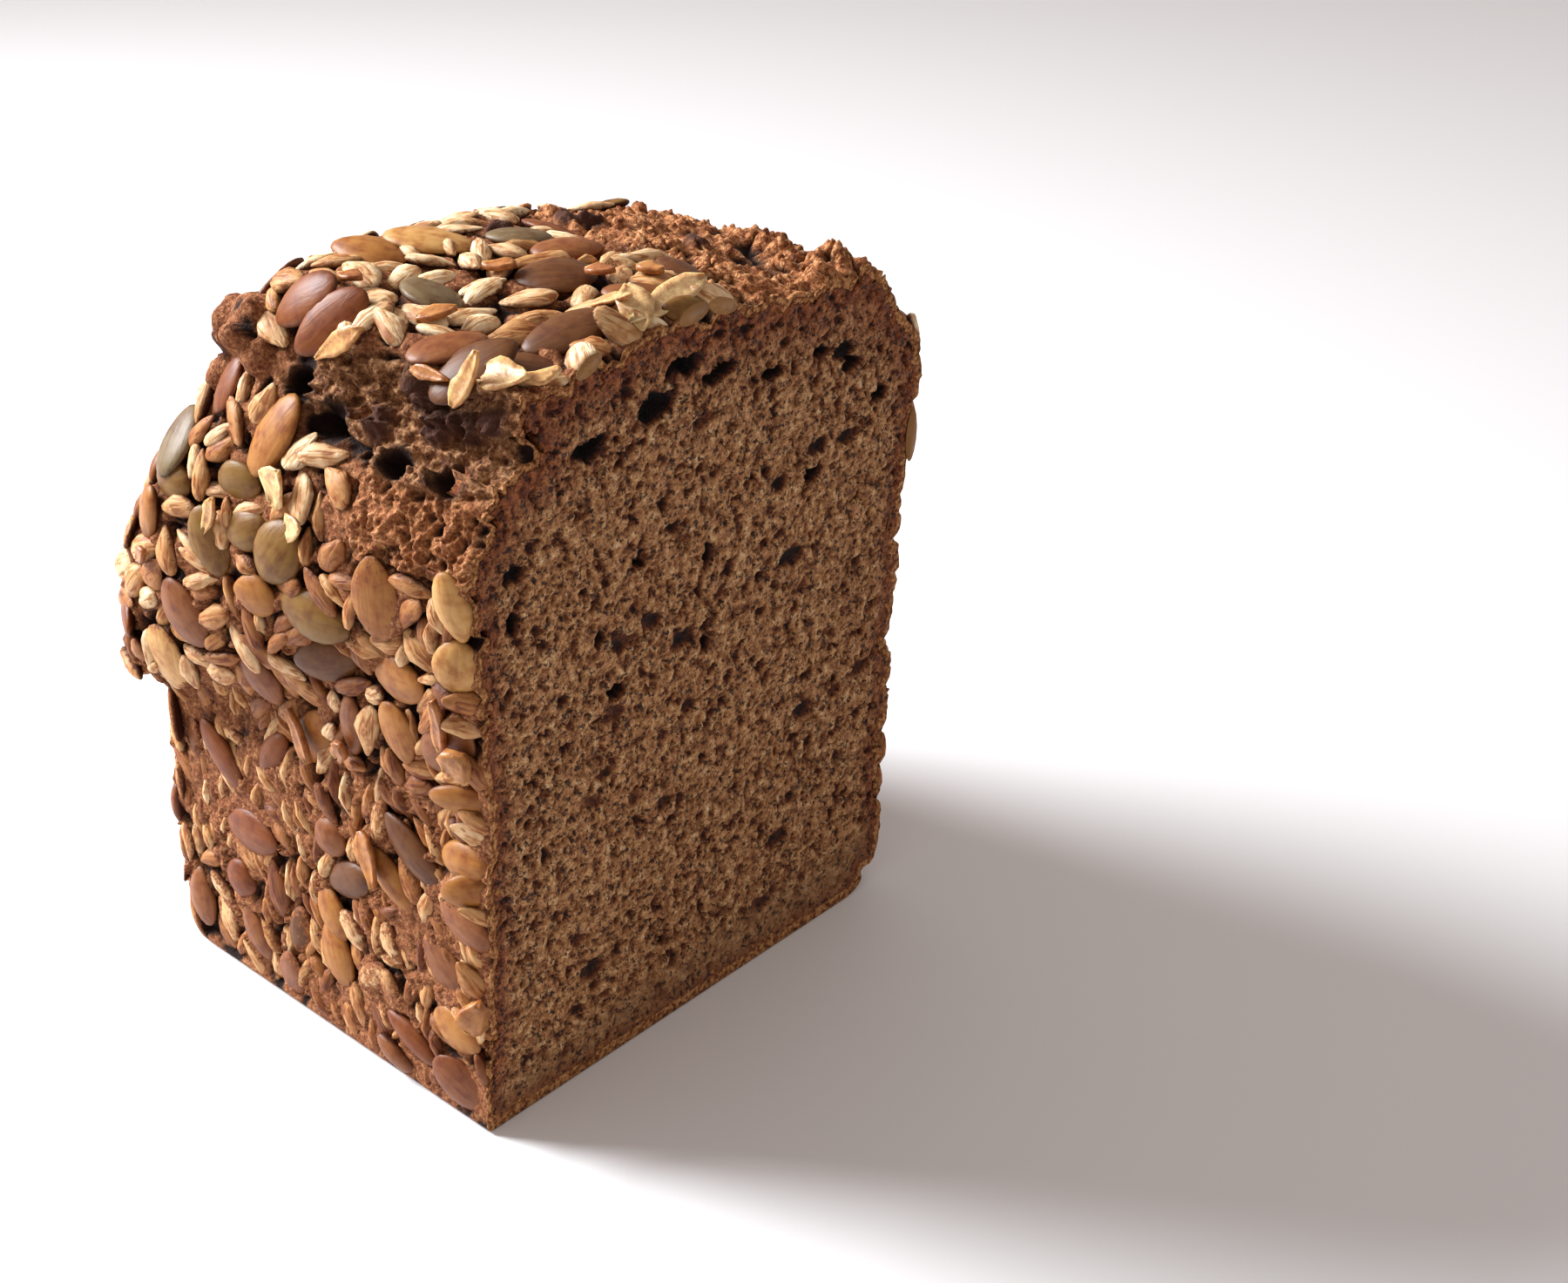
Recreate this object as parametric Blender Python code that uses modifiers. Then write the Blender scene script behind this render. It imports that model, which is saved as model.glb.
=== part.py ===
"""Half of a rye loaf that was baked in a tin, cut across with a knife.

The loaf stands on its flat base. +Z is up, the loaf's long axis is X, and the cut face looks along +X.
It is one solid. The dough rose over the tin's rim, so the walls are straight below and bulge above,
the top is a broad dome, and the crust tore open along the -Y shoulder beside the cut.
While it is shaped, the cut lies at x = 0 and the middle of the base's width at y = 0, in millimetres.
"""

import math

import bmesh
import bpy
import numpy as np
from mathutils import Matrix, Vector, noise

MM = 0.001

# Driving dimensions, in millimetres.
BASE_WIDTH = 90.0  # across the base, along Y
BASE_LENGTH = 75.0  # from the end wall to the cut, along X
HEIGHT = 120.0  # to the top of the dome
SPARE_LENGTH = 33.0  # of the loaf beyond the cut, which the knife takes off
BASE_EDGE = 2.5  # height of the cage's lowest loop, which keeps the bottom edge tight
BACK_EDGE_RADIUS = 9.0  # of the rounded bottom edge on the +Y side

# How far each wall stands out from the base's outline, as (height, offset) pairs. The tin's rim
# pressed the groove near a height of 50, and the dough spilled out over it.
FRONT_WALL = ((0, 0.0), (14, -0.7), (30, -2.0), (44, -2.6), (50, -4.2), (56, -3.4), (64, -2.8),
              (95, -2.6), (102, -4.0), (112, -8.0), (HEIGHT, -12.0))
BACK_WALL = ((0, 0.0), (14, 0.4), (30, 1.6), (44, 2.2), (50, 1.2), (57, 3.6), (74, 3.8),
             (90, 6.6), (98, 8.8), (106, 5.5), (114, 0.5), (HEIGHT, -3.0))
END_WALL = ((0, 0.0), (14, 0.8), (38, 2.2), (43, 0.6), (49, 5.0), (58, 7.4), (68, 7.6), (76, 4.6),
            (84, 1.4), (92, -1.0), (100, -2.6), (109, -6.0), (HEIGHT, -13.0))

# The front bulge: the height of its lower edge and its depth at places along the loaf.
BULGE_EDGE = ((-BASE_LENGTH, 44.0), (-52, 53.0), (-25, 73.0), (0, 84.0))
BULGE_DEPTH = ((-BASE_LENGTH, 8.6), (-50, 6.0), (-25, 4.2), (0, 1.6))
BULGE_RISE = 6.0  # height over which it swells out
BULGE_FADE = (74.0, 108.0)  # heights between which it dies out again

# Radius in plan of the two vertical corners at the end wall, as (height, radius) pairs.
CORNER_RADIUS = ((0, 7.0), (10, 2.0), (44, 2.0), (56, 12.0), (90, 17.0), (HEIGHT, 22.0))

# The dome: its height above HEIGHT across the loaf and along it, and how much it sags at the end wall.
CROWN = ((-45, -6.0), (-32, -1.6), (-14, -0.4), (0, -0.4), (9, -0.6), (19, -2.8), (26, -4.4),
         (36, -4.4), (45, -8.0))
RIDGE = ((-BASE_LENGTH, -14.0), (-66, -6.0), (-58, 0.6), (-49, 4.0), (-36, 2.8), (-20, 0.8), (0, 0.0))
SAG_START = 15.0  # distance from the cut where the sag begins
FRONT_SAG, BACK_SAG = -1.0, 19.0
DOME_START = 84.0  # height above which the walls follow the dome

# The tear along the front shoulder: an ellipsoid that is cut away.
TEAR_CENTRE = (-4.0, -44.0, 114.0)
TEAR_RADII = (38.0, 12.5, 9.5)
TEAR_TILT = 5.0  # degrees, by which it climbs towards the cut

# Unevenness of the crust, as feature size and height. It is weaker on the walls that the tin pressed.
SWELL_SIZE, SWELL_HEIGHT = 24.0, 1.8
LUMP_SIZE, LUMP_HEIGHT = 9.0, 1.3
WALL_SHARE = 0.4
PATTERN_OFFSET = Vector((3.1, 7.7, 1.3))

SMOOTHING = ((6.0, 1), (56.0, 1), (72.0, 7))  # passes over all that lies above each height

SUBDIVISIONS = 2
FLAT_ANGLE = math.radians(0.5)
CRUST_COLOUR = (0.235, 0.098, 0.042, 1.0)
CRUST_ROUGHNESS = 0.82


def along(table, value):
    """The table's number at a height or place, from straight lines between its points."""
    places, numbers = zip(*table)
    return float(np.interp(value, places, numbers))


def ease(share):
    """0 to 1 with a soft start and end."""
    share = min(1.0, max(0.0, share))
    return share * share * (3.0 - 2.0 * share)


def clear_scene():
    for obj in list(bpy.data.objects):
        bpy.data.objects.remove(obj, do_unlink=True)


def new_collection(name):
    collection = bpy.data.collections.new(name)
    bpy.context.scene.collection.children.link(collection)
    return collection


def cut_loops(bm, axis, places):
    """Cuts an edge loop through the cage at each place along an axis."""
    for place in places:
        point, normal = Vector(), Vector()
        point[axis], normal[axis] = place, 1.0
        everything = bm.verts[:] + bm.edges[:] + bm.faces[:]
        bmesh.ops.bisect_plane(bm, geom=everything, plane_co=point, plane_no=normal, dist=1e-5)


def loaf_cage():
    """The tin's box, in loops that lie closer together where the loaf's form changes."""
    half = BASE_WIDTH / 2
    bm = bmesh.new()
    bmesh.ops.create_cube(bm, size=1.0)
    bmesh.ops.scale(bm, vec=(BASE_LENGTH + SPARE_LENGTH, BASE_WIDTH, HEIGHT), verts=bm.verts)
    middle = Vector(((SPARE_LENGTH - BASE_LENGTH) / 2, 0, HEIGHT / 2))
    bmesh.ops.translate(bm, vec=middle, verts=bm.verts)
    cut_loops(bm, 0, (5 - BASE_LENGTH, 15 - BASE_LENGTH, 28 - BASE_LENGTH, -33, -18, -3, 14))
    cut_loops(bm, 1, (5 - half, 15 - half, -16, 0, 16, half - 15, half - 5))
    cut_loops(bm, 2, (BASE_EDGE, 13, 29, 43, 51, 60, 72, 84, 95, 106, 116))
    return bm


def subdivided(bm, name):
    """The cage as a dense mesh with rounded edges."""
    mesh = bpy.data.meshes.new(name + "_cage")
    bm.to_mesh(mesh)
    bm.free()
    cage = bpy.data.objects.new(name + "_cage", mesh)
    bpy.context.scene.collection.objects.link(cage)
    smooth = cage.modifiers.new("Rounding", "SUBSURF")
    smooth.levels = smooth.render_levels = SUBDIVISIONS
    bpy.context.view_layer.update()
    graph = bpy.context.evaluated_depsgraph_get()
    dense = bpy.data.meshes.new_from_object(cage.evaluated_get(graph))
    bpy.data.objects.remove(cage, do_unlink=True)
    return dense


def round_corner(radius, gap_a, gap_b):
    """Moves a point of a square corner, given by its gaps to the two sides, onto concentric arcs."""
    a, b = max(0.0, radius - gap_a), max(0.0, radius - gap_b)
    if a == 0.0 or b == 0.0:
        return gap_a, gap_b
    share = max(a, b) / math.hypot(a, b)
    return radius - a * share, radius - b * share


def front_offset(x, z):
    """How far the front wall stands out, with the bulge that hangs over the tin's rim."""
    swollen = ease((z - along(BULGE_EDGE, x)) / BULGE_RISE)
    fading = 1.0 - ease((z - BULGE_FADE[0]) / (BULGE_FADE[1] - BULGE_FADE[0]))
    return along(FRONT_WALL, z) + along(BULGE_DEPTH, x) * swollen * fading


def dome_rise(x, y):
    """How far the dome lies above HEIGHT at a place in plan."""
    sag_here = FRONT_SAG + (BACK_SAG - FRONT_SAG) * (y / BASE_WIDTH + 0.5)
    towards_end = max(0.0, (-x - SAG_START) / (BASE_LENGTH - SAG_START))
    return along(CROWN, y) + along(RIDGE, x) - sag_here * towards_end**1.5


def shaped(point):
    """The place on the loaf that a point of the rounded box moves to."""
    x, y, z = point
    half = BASE_WIDTH / 2
    side = math.copysign(1.0, y)
    near_side = min(1.0, abs(y) / half) ** 3
    near_end = max(0.0, 1.0 - (x + BASE_LENGTH) / (BASE_LENGTH / 2)) ** 2
    offset = front_offset(x, z) if side < 0 else along(BACK_WALL, z)
    lift = ease((z - DOME_START) / (HEIGHT - DOME_START))
    end_gap, side_gap = round_corner(along(CORNER_RADIUS, z), x + BASE_LENGTH, half - abs(y))
    x = end_gap - BASE_LENGTH - near_end * along(END_WALL, z)
    if side > 0:
        side_gap, z = round_corner(BACK_EDGE_RADIUS, side_gap, z)
    y = side * (half - side_gap + near_side * offset)
    return Vector((x, y, z + lift * dome_rise(x, y)))


def soften(bm):
    """Rounds the form over, most of all the dome that no tin touched."""
    for height, passes in SMOOTHING:
        upper = [v for v in bm.verts if v.co.z > height]
        for _ in range(passes):
            bmesh.ops.smooth_vert(bm, verts=upper, factor=0.5, use_axis_x=True, use_axis_y=True, use_axis_z=True)


def shape_loaf(bm):
    """Moves the box's surface to the loaf's form, then swells and lumps it above the base."""
    for v in bm.verts:
        v.co = shaped(v.co)
    soften(bm)
    bm.normal_update()
    moves = []
    for v in bm.verts:
        above_base = ease((v.co.z - 2.0) / 12.0)
        on_top = WALL_SHARE + (1.0 - WALL_SHARE) * ease((v.co.z - 80.0) / 25.0)
        swell = SWELL_HEIGHT * noise.noise(v.co / SWELL_SIZE + PATTERN_OFFSET)
        lump = LUMP_HEIGHT * noise.noise(v.co / LUMP_SIZE - PATTERN_OFFSET)
        moves.append(v.normal * (swell + lump) * on_top * above_base)
    for v, move in zip(bm.verts, moves):
        v.co += move
        if v.co.z < BASE_EDGE / 5:
            v.co.z = 0.0


def slice_loaf(bm):
    """The knife: removes what lies past the cut and closes the cut face."""
    everything = bm.verts[:] + bm.edges[:] + bm.faces[:]
    cut = bmesh.ops.bisect_plane(bm, geom=everything, plane_co=(0, 0, 0), plane_no=(1, 0, 0), clear_outer=True)
    rim = [e for e in cut["geom_cut"] if isinstance(e, bmesh.types.BMEdge)]
    bmesh.ops.edgeloop_fill(bm, edges=rim)


def tear_cutter(collection):
    """The ellipsoid that opens the crust along the front shoulder."""
    bpy.ops.mesh.primitive_uv_sphere_add(segments=28, ring_count=18, radius=1.0)
    cutter = bpy.context.object
    cutter.name = "shoulder_tear"
    lay = Matrix.Rotation(math.pi / 2, 4, "Y")
    climb = Matrix.Rotation(math.radians(-TEAR_TILT), 4, "Y")
    cutter.data.transform(Matrix.Translation(TEAR_CENTRE) @ climb @ Matrix.Diagonal((*TEAR_RADII, 1.0)) @ lay)
    for other in list(cutter.users_collection):
        other.objects.unlink(cutter)
    collection.objects.link(cutter)
    cutter.hide_render = True
    cutter.display_type = "WIRE"
    return cutter


def tear_open(loaf, cutter):
    """Cuts the tear and merges the flat faces of the base and of the cut."""
    tear = loaf.modifiers.new("Tear", "BOOLEAN")
    tear.operation = "DIFFERENCE"
    tear.object = cutter
    bpy.context.view_layer.update()
    graph = bpy.context.evaluated_depsgraph_get()
    loaf.data = bpy.data.meshes.new_from_object(loaf.evaluated_get(graph))
    loaf.modifiers.clear()
    bm = bmesh.new()
    bm.from_mesh(loaf.data)
    bmesh.ops.dissolve_limit(bm, angle_limit=FLAT_ANGLE, verts=bm.verts, edges=bm.edges)
    bm.to_mesh(loaf.data)
    bm.free()


def centre_on_base(obj):
    """Puts the origin under the middle of the loaf's box, and turns millimetres to metres."""
    corners = np.array([v.co for v in obj.data.vertices])
    low, high = corners.min(axis=0), corners.max(axis=0)
    shift = Vector((-(low[0] + high[0]) / 2, -(low[1] + high[1]) / 2, -low[2]))
    obj.data.transform(Matrix.Scale(MM, 4) @ Matrix.Translation(shift))


def crust_material():
    material = bpy.data.materials.new("baked_rye_crust")
    material.use_nodes = True
    surface = material.node_tree.nodes["Principled BSDF"]
    surface.inputs["Base Color"].default_value = CRUST_COLOUR
    surface.inputs["Roughness"].default_value = CRUST_ROUGHNESS
    surface.inputs["Metallic"].default_value = 0.0
    return material


def make_loaf():
    mesh = subdivided(loaf_cage(), "loaf")
    bm = bmesh.new()
    bm.from_mesh(mesh)
    shape_loaf(bm)
    slice_loaf(bm)
    bmesh.ops.recalc_face_normals(bm, faces=bm.faces)
    bm.to_mesh(mesh)
    bm.free()
    loaf = bpy.data.objects.new("loaf", mesh)
    new_collection("rye_loaf_half").objects.link(loaf)
    tear_open(loaf, tear_cutter(new_collection("cutters")))
    centre_on_base(loaf)
    loaf.data.materials.clear()
    loaf.data.materials.append(crust_material())
    loaf.data.shade_smooth()
    loaf.data.set_sharp_from_angle(angle=math.radians(50))


clear_scene()
make_loaf()
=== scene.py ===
# %% [markdown]
# # Half of a seeded rye loaf
# This lesson dresses a plain solid of half a loaf of rye bread. The solid comes from the frame, and every
# visible part of the bread is a piece of its own: a rough crust, a porous cut face, and hundreds of
# pumpkin and sunflower seeds that the baker rolled the dough in. All sizes are real ones, in millimetres,
# and are turned to metres when a mesh is finished.

# %% Load the frame
import math

import bmesh
import bpy
import numpy as np
from mathutils import Matrix, Vector, bvhtree


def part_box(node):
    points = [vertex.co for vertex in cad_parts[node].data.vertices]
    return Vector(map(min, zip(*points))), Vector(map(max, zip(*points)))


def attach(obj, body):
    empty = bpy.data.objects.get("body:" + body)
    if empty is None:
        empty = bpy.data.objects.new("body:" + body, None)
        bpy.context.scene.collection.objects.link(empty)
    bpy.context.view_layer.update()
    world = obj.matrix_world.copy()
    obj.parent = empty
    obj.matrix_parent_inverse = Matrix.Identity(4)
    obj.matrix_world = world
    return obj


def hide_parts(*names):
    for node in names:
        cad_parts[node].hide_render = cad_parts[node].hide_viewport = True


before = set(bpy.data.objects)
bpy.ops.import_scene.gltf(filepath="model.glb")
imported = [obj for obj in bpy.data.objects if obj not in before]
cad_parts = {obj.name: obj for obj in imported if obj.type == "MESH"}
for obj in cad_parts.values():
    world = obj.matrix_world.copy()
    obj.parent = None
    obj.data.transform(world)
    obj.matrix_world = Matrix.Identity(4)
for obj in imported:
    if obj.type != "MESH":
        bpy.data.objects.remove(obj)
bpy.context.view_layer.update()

MM = 0.001
low, high = (np.array(corner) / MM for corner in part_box("loaf"))
print("the loaf's solid spans", low.round(1), "to", high.round(1), "mm")

# %% [markdown]
# ## Small helpers
# A colour is written as the hex value a painter would pick on a screen, so it has to be turned to the
# linear values that Cycles adds up. The second helper adds one shader node of any kind with its settings,
# its colour stops and its links, which keeps a material short enough to read from top to bottom.

# %% Colours and shader nodes
def linear(hex_colour):
    """A screen colour such as "#8a5a3c" as linear RGBA."""
    parts = [int(hex_colour[i:i + 2], 16) / 255 for i in (1, 3, 5)]
    return (*[c / 12.92 if c <= 0.04045 else ((c + 0.055) / 1.055) ** 2.4 for c in parts], 1.0)


def add_node(tree, kind, settings=None, stops=(), **links):
    """Adds a node of a kind, which Blender calls ShaderNode and that name, and returns its outputs.

    The settings are its properties, the stops a colour ramp's (position, hex colour) pairs. Each link
    names an input, or gives its number after an i, and holds a value, a hex colour or a node's output.
    """
    node = tree.nodes.new("ShaderNode" + kind)
    for name, value in (settings or {}).items():
        setattr(node, name, value)
    while stops and len(node.color_ramp.elements) < len(stops):
        node.color_ramp.elements.new(0.5)
    for element, (position, colour) in zip(node.color_ramp.elements if stops else (), stops):
        element.position = position
        element.color = linear(colour)
    for name, value in links.items():
        socket = node.inputs[int(name[1:])] if name[1:].isdigit() else node.inputs[name.replace("_", " ")]
        if isinstance(value, bpy.types.NodeSocket):
            tree.links.new(value, socket)
        else:
            socket.default_value = linear(value) if isinstance(value, str) else value
    return node.outputs


def new_material(name):
    """A material with its node tree, its Principled BSDF and its Object coordinates."""
    material = bpy.data.materials.new(name)
    material.use_nodes = True
    tree = material.node_tree
    place = add_node(tree, "TexCoord")["Object"]
    return material, tree, tree.nodes["Principled BSDF"], place


# %% [markdown]
# ## Unevenness worked out on points
# Bread is never smooth, and a visible shape should be real geometry. These functions give a height for
# thousands of points at once, so a dense mesh can be roughened in a second: a soft gradient noise for
# swells and lumps, and a field of cells, whose centres become the bubbles of the crumb.

# %% Noise and cells
def scrambled(ix, iy, iz, seed):
    """A repeatable number from 0 to 1 for each whole-number place."""
    n = (ix * 73856093) ^ (iy * 19349663) ^ (iz * 83492791) ^ np.int64(seed * 2654435761)
    n = (n ^ (n >> 13)) & 0x7FFFFFFF
    n = (n * 1274126177) & 0x7FFFFFFF
    n = (n ^ (n >> 16)) & 0x7FFFFFFF
    n = (n * 22695477 + 12345) & 0x7FFFFFFF
    return (n ^ (n >> 15)) / 0x7FFFFFFF % 1.0


def noise(points, size, seed=1):
    """Gradient noise from about -1 to 1 with features of a size in mm."""
    p = points / size
    whole = np.floor(p).astype(np.int64)
    f = p - whole
    blend = f * f * f * (f * (f * 6 - 15) + 10)
    total = np.zeros(len(p))
    for corner in np.ndindex(2, 2, 2):
        c = np.array(corner)
        cell = whole + c
        weight = np.prod(np.where(c == 1, blend, 1 - blend), axis=1)
        slope = [2 * scrambled(*cell.T, seed * 3 + k) - 1 for k in range(3)]
        total += weight * sum(slope[k] * (f[:, k] - c[k]) for k in range(3))
    return total * 1.6


def ridges(points, size, seed=1):
    """Noise with sharp crests, from 0 to 1, like torn dough."""
    return np.clip(1.0 - 2.2 * np.abs(noise(points, size, seed)), 0.0, 1.0)


def bubbles(points, size, smallest, largest, share, seed=1):
    """Depth in mm of round pits: one may sit in each cell of a size, with a radius between two limits."""
    p = points / size
    whole = np.floor(p).astype(np.int64)
    depth = np.zeros(len(p))
    for step in np.ndindex(3, 3, 3):
        cell = whole + np.array(step) - 1
        centre = (cell + np.stack([scrambled(*cell.T, seed * 5 + k) for k in range(3)], axis=1)) * size
        gap = np.linalg.norm(points - centre, axis=1)
        radius = smallest + (largest - smallest) * scrambled(*cell.T, seed * 5 + 3) ** 2
        radius = np.where(scrambled(*cell.T, seed * 5 + 4) < share, radius, 0.0)
        depth = np.maximum(depth, np.sqrt(np.maximum(0.0, radius**2 - gap**2)))
    return depth


def ease(value, start, end):
    """0 before start, 1 after end, and a soft step between."""
    share = np.clip((value - start) / (end - start), 0.0, 1.0)
    return share * share * (3 - 2 * share)


# %% Meshes to and from arrays of points
def points_of(mesh):
    flat = np.empty(len(mesh.vertices) * 3)
    mesh.vertices.foreach_get("co", flat)
    return flat.reshape(-1, 3) / MM


def normals_of(mesh):
    flat = np.empty(len(mesh.vertices) * 3)
    mesh.vertex_normals.foreach_get("vector", flat)
    return flat.reshape(-1, 3)


def set_points(mesh, points):
    mesh.vertices.foreach_set("co", (points * MM).ravel())
    mesh.update()


def store(mesh, name, values):
    """Keeps one number per vertex, for the material to read."""
    layer = mesh.attributes.get(name) or mesh.attributes.new(name, "FLOAT", "POINT")
    layer.data.foreach_set("value", np.asarray(values, np.float32))


def finish_piece(name, bm, material):
    """Makes a piece from a bmesh, shades it smooth and lets it ride on the loaf."""
    mesh = bpy.data.meshes.new(name)
    bm.to_mesh(mesh)
    bm.free()
    mesh.materials.clear()
    mesh.materials.append(material)
    mesh.shade_smooth()
    piece = bpy.data.objects.new(name, mesh)
    bpy.context.scene.collection.objects.link(piece)
    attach(piece, "root")
    triangles = sum(len(p.vertices) - 2 for p in mesh.polygons)
    print(f"{name}: {triangles} triangles")
    return piece


# %% [markdown]
# ## Where things are on the loaf
# The tin held the lower half of the walls. Above its rim the dough swelled out, and near the cut the crust
# tore open along the front shoulder. The back quarter of the top stayed bare of seeds. Each place is a
# function that gives 0 to 1, so it can steer the relief, the colours and the seeds alike.

# %% Places
CUT = high[0]
FRONT_FOOT = -46.3  # Y of the base's front edge
RIM = 50.0  # height of the tin's rim
TEAR_CENTRE = np.array([37.5, -45.6, 114.0])
TEAR_RADII = np.array([38.0, 12.5, 9.5])
TEAR_TILT = math.radians(5.0)
HOLES = ((23, -41, 105, 2.4), (33, -40, 105.6, 2.7), (9, -39, 105, 3.5), (16, -43, 98, 1.6),
         (1, -38, 108, 3.0), (-17, -40, 107, 1.6))  # x, y, z and radius of gas holes that the tear opened
CHARRED = ((32, -35, 111, 3.0), (30, -25, 119, 2.6), (23, -34, 114, 4.0), (17, -38, 108, 2.6),
           (27, -35, 110, 3.4), (-19, -37, 108, 2.6), (1, 0, 120, 2.4), (3, 12, 118, 2.6), (6, 14, 118, 2.2),
           (20, 22, 116, 2.6), (37, -33, 113, 3.0))  # the same of lumps that the oven caught
LUMPS = ((-13, -36, 112, 5.0), (-18, -35, 110, 4.0), (-9, -39, 110, 3.5), (-20, -39, 104, 3.0),
         (36, 33, 115, 3.5), (39, 28, 116, 2.5))  # and of plain knobs of dough


def in_tear(points, soft=0.22):
    """1 in the torn groove under the front shoulder."""
    rel = points - TEAR_CENTRE
    along = rel[:, 0] * math.cos(TEAR_TILT) + rel[:, 2] * math.sin(TEAR_TILT)
    up = rel[:, 2] * math.cos(TEAR_TILT) - rel[:, 0] * math.sin(TEAR_TILT)
    radius = np.sqrt((along / TEAR_RADII[0]) ** 2
                     + (rel[:, 1] / TEAR_RADII[1]) ** 2 + (up / TEAR_RADII[2]) ** 2)
    return 1.0 - ease(radius + 0.12 * noise(points, 7.0, 20), 1.02, 1.02 + soft)


def below_tear(points):
    """1 on the ragged slope between the tear and the front wall, near the cut."""
    top = 97.0 + 0.12 * (CUT - points[:, 0])
    low_edge = 92.5 - 0.1 * (CUT - points[:, 0]) + 2.5 * noise(points, 6.0, 22)
    band = ease(points[:, 2], low_edge - 1.5, low_edge + 1.5) * (1 - ease(points[:, 2], top + 8, top + 12))
    return band * ease(points[:, 0], 12, 22) * (points[:, 1] < -36)


def on_bare_top(points):
    """1 on the back quarter of the top, where the crust broke open and carries no seeds."""
    wobble = 4.0 * noise(points, 14.0, 21)
    inner = 2.0 + 0.12 * (CUT - points[:, 0]) + wobble
    in_length = ease(points[:, 0] + wobble, -14, -4)
    return ease(points[:, 1], inner, inner + 4) * in_length * ease(points[:, 2], 97, 106)


def above_tin(points):
    """0 on the walls that the tin pressed, 1 above its rim."""
    return ease(points[:, 2], RIM - 4, RIM + 6)


# %% [markdown]
# ## Camera, light and floor
# The loaf stands on a white table. The camera looks at the corner where the cut meets the long side. One
# large soft window of light stands to the left and a little behind, so the end and the top are bright, the
# long side is grazed, and the cut face lies in the warm shade of the loaf itself.

# %% Camera
CAMERA_FROM_FOOT = np.array([245.7, -206.5, 282.0])  # from the corner where cut, front wall and table meet
AZIMUTH, DOWN, ROLL = (math.radians(a) for a in (42.2, 31.5, -0.7))
forward = Vector((-math.sin(AZIMUTH) * math.cos(DOWN), math.cos(AZIMUTH) * math.cos(DOWN), -math.sin(DOWN)))
level_right = Vector((math.cos(AZIMUTH), math.sin(AZIMUTH), 0.0))
level_down = forward.cross(level_right)
right = level_right * math.cos(ROLL) + level_down * math.sin(ROLL)
up = level_right * math.sin(ROLL) - level_down * math.cos(ROLL)
camera = bpy.data.objects.new("camera", bpy.data.cameras.new("camera"))
camera.data.lens, camera.data.sensor_width = 64.0, 36.0
turn = Matrix((right, up, -forward)).transposed().to_4x4()
camera.matrix_world = Matrix.Translation((np.array([CUT, FRONT_FOOT, 0.0]) + CAMERA_FROM_FOOT) * MM) @ turn
bpy.context.scene.collection.objects.link(camera)
bpy.context.scene.camera = camera

# %% Light and table
KEY_AZIMUTH, KEY_HEIGHT, KEY_DISTANCE = math.radians(-67.6), math.radians(34.0), 0.9
key = bpy.data.objects.new("window_light", bpy.data.lights.new("window_light", "AREA"))
key.data.shape, key.data.size = "DISK", 0.42
key.data.energy = 4.5
key.data.spread = math.radians(78)
key.data.color = linear("#f7fbff")[:3]
towards = Vector((math.sin(KEY_AZIMUTH) * math.cos(KEY_HEIGHT), -math.cos(KEY_AZIMUTH) * math.cos(KEY_HEIGHT),
                  math.sin(KEY_HEIGHT)))
key.location = towards * KEY_DISTANCE + Vector((0, -0.02, 0.03))
key.rotation_euler = towards.to_track_quat("Z", "Y").to_euler()
bpy.context.scene.collection.objects.link(key)

world = bpy.context.scene.world or bpy.data.worlds.new("room")
bpy.context.scene.world = world
world.use_nodes = True
room = world.node_tree.nodes["Background"]
room.inputs["Color"].default_value = linear("#fff5ef")
room.inputs["Strength"].default_value = 0.5
bpy.context.scene.view_settings.view_transform = "Standard"

TABLE_REACH = 6.0  # m from its middle to each edge
TABLE_DROP = 0.0002  # m under the base, so that the two faces never share a plane
bm = bmesh.new()
bmesh.ops.create_grid(bm, x_segments=1, y_segments=1, size=TABLE_REACH)
table_mesh = bpy.data.meshes.new("table")
bm.to_mesh(table_mesh)
bm.free()
table = bpy.data.objects.new("table", table_mesh)
table.location.z = -TABLE_DROP
bpy.context.scene.collection.objects.link(table)
laminate, _, surface, _ = new_material("white_laminate_table")  # its dull white shows the soft shadow
surface.inputs["Base Color"].default_value = linear("#eceaeb")
surface.inputs["Roughness"].default_value = 0.6
table_mesh.materials.append(laminate)

# %% [markdown]
# ## Scattering the seeds
# The seeds have to be known before the crust, because the dough dips where a seed is pressed into it. Each
# seed is an oval on the surface. Places are drawn at random over the skin of the loaf, big seeds first, and
# one is kept where its oval stays clear of those already there. The ovals are tested as three discs in a
# row, which is fast and lets neighbours lie close, as they do on the real loaf.

# %% The loaf's skin
def merged_copy(node):
    """The frame's solid as a bmesh with its loose triangles joined."""
    bm = bmesh.new()
    bm.from_mesh(node.data)
    bmesh.ops.remove_doubles(bm, verts=bm.verts, dist=1e-6)
    return bm


skin = merged_copy(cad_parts["loaf"])
skin_tree = bvhtree.BVHTree.FromBMesh(skin)
corners = np.array([[c.co for c in f.verts] for f in skin.faces if len(f.verts) == 3]) / MM
skin.free()
face_normals = np.cross(corners[:, 1] - corners[:, 0], corners[:, 2] - corners[:, 0])
areas = np.linalg.norm(face_normals, axis=1) / 2
face_normals /= 2 * areas[:, None]


def random_places(rng, count):
    """Random points with their normals, evenly spread over the skin."""
    pick = rng.choice(len(areas), count, p=areas / areas.sum())
    u, v = rng.random((2, count))
    flip = u + v > 1
    u, v = np.where(flip, 1 - u, u), np.where(flip, 1 - v, v)
    a, b, c = corners[pick].transpose(1, 0, 2)
    return a + u[:, None] * (b - a) + v[:, None] * (c - a), face_normals[pick]


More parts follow.
